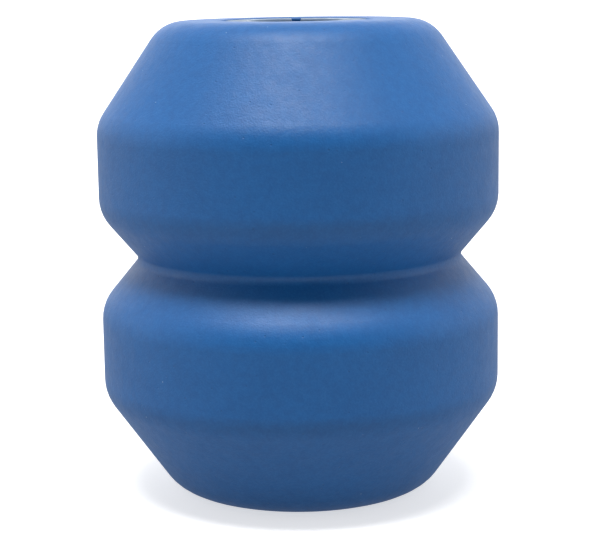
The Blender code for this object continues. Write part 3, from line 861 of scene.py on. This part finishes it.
def make_filter(material):
    """Disc whose faces rise and fall a little, as r and t waves, like pressed beads."""
    radius, low, high = extent("filter_disc")
    line = outline([(0, high), (radius, high, 0.2), (radius, low, 0.2), (0, low)], False, run=0.25)

    def rough(r, z, t, mark):
        """Moves both faces inwards by the ripple, from nothing at the axis."""
        ripple = np.sin(9 * r) * np.sin(11 * t) + np.sin(5.3 * r + 7 * t) * np.cos(4 * t)
        inwards = np.where(z > (low + high) / 2, -1, 1)
        return r, z + inwards * FILTER_RIPPLE * (2 + ripple) / 4 * smooth(r, 0, 1), t

    disc = turned("filter_frit", line, circle(120), closed=False, warp=rough)
    dress(disc, "filter_disc", material)
    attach(disc, "base")


def make_chuck_ring(material):
    """Bayonet ring. Lugs push its outer wall out, marks 1, and finger slots raise its underside."""
    line = outline(
        [
            (RING_BORE_R, RING_TOP, 0.15),
            (RING_R, RING_TOP, 0.15),
            (RING_R, LUG_TOP),
            (RING_R, LUG_TOP, 0, 1),
            (RING_R, LUG_TOP - LUG_T, 0, 1),
            (RING_R, LUG_TOP - LUG_T),
            (RING_R, RING_BOTTOM, 0.2),
            (RING_BORE_R, RING_BOTTOM, 0.3),
        ],
        run=0.5,
    )
    lug_edge = 1 - LUG_ARC / 180
    by_the_edge = lug_edge + 0.008 * np.linspace(-1, 1, 7)
    gaps = np.unique(np.concatenate([np.linspace(0, 1, 40)[1:], by_the_edge]))
    columns = spokes(2, math.pi / 2, FINGER_SLOT_W, gaps)
    raised = FINGER_SLOT_DEPTH * in_slot(columns, FINGER_SLOT_W)

    def shape(r, z, t, mark):
        """r + lug, and z raised by the finger slots, less and less upwards."""
        t = spoke_angle(columns, r, 2)
        lug = mark * in_arc(t, 0, LUG_ARC)
        band = 2 * FINGER_SLOT_DEPTH
        share = np.clip(1 - (z - RING_BOTTOM) / band, 0, 1)
        return r + lug * (RING_REACH - RING_R), z + share * raised, t

    ring = turned("bayonet_ring", line, columns[0], warp=shape)
    dress(ring, "chuck_ring", material)
    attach(ring, "ring")


# ---------------------------------------------------------------- stage, light and camera


def make_floor():
    """A wide level sheet, which throws less light back on the bulb than it shows."""
    steps = np.array([-12.0, -1.0, 1.0, 12.0])
    x, y = np.meshgrid(steps, steps)
    points = np.stack([x, y, 0 * x], -1).reshape(-1, 3)
    corner = np.arange(3)[:, None] * 4 + np.arange(3)[None]
    faces = np.stack([corner, corner + 1, corner + 5, corner + 4], -1).reshape(-1, 4)
    mesh = bpy.data.meshes.new("floor")
    mesh.from_pydata(points.tolist(), [], faces.tolist())
    floor = bpy.data.objects.new("floor", mesh)
    bpy.context.scene.collection.objects.link(floor)
    f = Finish("pale_floor", Roughness=0.9)
    seen = f.add("ShaderNodeLightPath").outputs["Is Camera Ray"]
    f.set("Base Color", f.blend(seen, opaque(0.24, 0.24, 0.24), opaque(0.60, 0.60, 0.60)))
    f.set("Emission Color", opaque(1, 1, 1))
    f.set("Emission Strength", f.fade(seen, 0, 1, 0.33, 0.62))
    floor.data.materials.append(f.material)


# A wide overhead bank, from left to right: azimuth from the front towards +X, elevation, strength
BANK = ((-75, 70, 0.33), (-45, 73, 1.12), (-15, 74, 0.86), (15, 76, 0.46), (45, 73, 0.78), (75, 72, 0.18))
BANK_SIZE = 12  # degrees across each lamp
# Soft lights, each mirrored in X: azimuth, elevation, sharpness, strength
SOFT_LIGHTS = ((90, 40, 6, 0.42), (90, 8, 6, 1.12), (135, 12, 6, 0.47), (180, 12, 6, 2.1))


def direction(azimuth, elevation):
    """Unit vector towards a light; azimuth 0 is the front, -Y."""
    a, e = math.radians(azimuth), math.radians(elevation)
    return Vector((math.sin(a) * math.cos(e), -math.cos(a) * math.cos(e), math.sin(e)))


def make_light():
    """A bank of lamps above the front, and a sky of soft lights, each exp(k (d . n - 1)) strong in
    direction d, that leaves the side behind the camera dark."""
    for azimuth, elevation, strength in BANK:
        sun = bpy.data.lights.new("bank", "SUN")
        sun.energy = strength
        sun.angle = math.radians(BANK_SIZE)
        lamp = bpy.data.objects.new("bank", sun)
        lamp.rotation_euler = direction(azimuth, elevation).to_track_quat("Z", "Y").to_euler()
        bpy.context.scene.collection.objects.link(lamp)
    world = bpy.data.worlds.new("studio")
    bpy.context.scene.world = world
    world.use_nodes = True
    tree = world.node_tree
    tree.nodes.clear()

    def node(kind, *inputs, **settings):
        """A new node of the sky, with its first inputs linked or set."""
        made = tree.nodes.new(kind)
        for name, value in settings.items():
            setattr(made, name, value)
        for socket, content in zip(made.inputs, inputs):
            if isinstance(content, bpy.types.NodeSocket):
                tree.links.new(content, socket)
            elif content is not None:
                socket.default_value = content
        return made

    place = node("ShaderNodeTexCoord").outputs["Generated"]
    mirrored = node("ShaderNodeVectorMath", place, operation="ABSOLUTE").outputs[0]
    x = node("ShaderNodeSeparateXYZ", mirrored).outputs["X"]
    split = node("ShaderNodeSeparateXYZ", place)
    folded = node("ShaderNodeCombineXYZ", x, split.outputs["Y"], split.outputs["Z"]).outputs[0]
    total = 0.0
    for azimuth, elevation, sharpness, strength in SOFT_LIGHTS:
        towards = tuple(direction(azimuth, elevation))
        facing = node("ShaderNodeVectorMath", folded, towards, operation="DOT_PRODUCT").outputs["Value"]
        power = node("ShaderNodeMath", facing, sharpness, -sharpness, operation="MULTIPLY_ADD").outputs[0]
        lobe = node("ShaderNodeMath", power, operation="EXPONENT").outputs[0]
        total = node("ShaderNodeMath", lobe, strength, total, operation="MULTIPLY_ADD").outputs[0]
    sky = node("ShaderNodeBackground", (1, 1, 1, 1), total).outputs[0]
    white = node("ShaderNodeBackground", (1, 1, 1, 1), 1.0).outputs[0]
    seen = node("ShaderNodeLightPath").outputs["Is Camera Ray"]
    node("ShaderNodeOutputWorld", node("ShaderNodeMixShader", seen, sky, white).outputs[0])


EYE = (0, -0.2262, 0.06708)  # metres
LENS = 104.54
LOOK_DOWN, LOOK_LEFT, ROLL = 9.585, -0.008, -0.823  # degrees


def make_camera():
    """Eye level just over the crown, looking a little down."""
    data = bpy.data.cameras.new("camera")
    data.lens = LENS
    data.sensor_width = 36
    data.clip_end = 100
    camera = bpy.data.objects.new("camera", data)
    turn = Euler((math.radians(90 - LOOK_DOWN), 0, math.radians(LOOK_LEFT))).to_matrix()
    roll = Matrix.Rotation(math.radians(ROLL), 3, "Z")
    camera.matrix_world = Matrix.Translation(Vector(EYE)) @ (turn @ roll).to_4x4()
    bpy.context.scene.collection.objects.link(camera)
    bpy.context.scene.camera = camera


# ---------------------------------------------------------------- assembly

grey = moulded_plastic("slate_moulded_plastic", (0.10, 0.155, 0.235), (0.13, 0.19, 0.28), 0.36, 0.50)
blue = moulded_plastic("blue_moulded_plastic", (0.032, 0.085, 0.20), (0.05, 0.12, 0.26), 0.32, 0.46)
silicone = black_silicone()
frit = sintered_filter()
lathe_steel = turned_steel("turned_steel", 1, 12)
wire_steel = turned_steel("drawn_wire_steel", 4, 4)

make_bulb(bulb_rubber())
make_crown_bush(grey)
make_vent_button(blue)
make_vent_stem(lathe_steel)
make_washer("poppet_seal", "vent_poppet", silicone, "vent", STEM_NECK_R + SLIDE, 0.25)
make_washer("poppet_backing", "poppet_washer", lathe_steel, "vent", STEM_NECK_R + SLIDE, 0.1)
make_stem_clip(lathe_steel)
make_vent_spring(wire_steel)
make_nose_body(grey)
make_pipette_chuck(silicone)
make_filter(frit)
make_washer("filter_seal", "filter_gasket", silicone, "base", CHUCK_R - 1.8, 0.15, 120)
make_chuck_ring(blue)

make_floor()
make_light()
make_camera()
bpy.context.scene.view_settings.view_transform = "Standard"
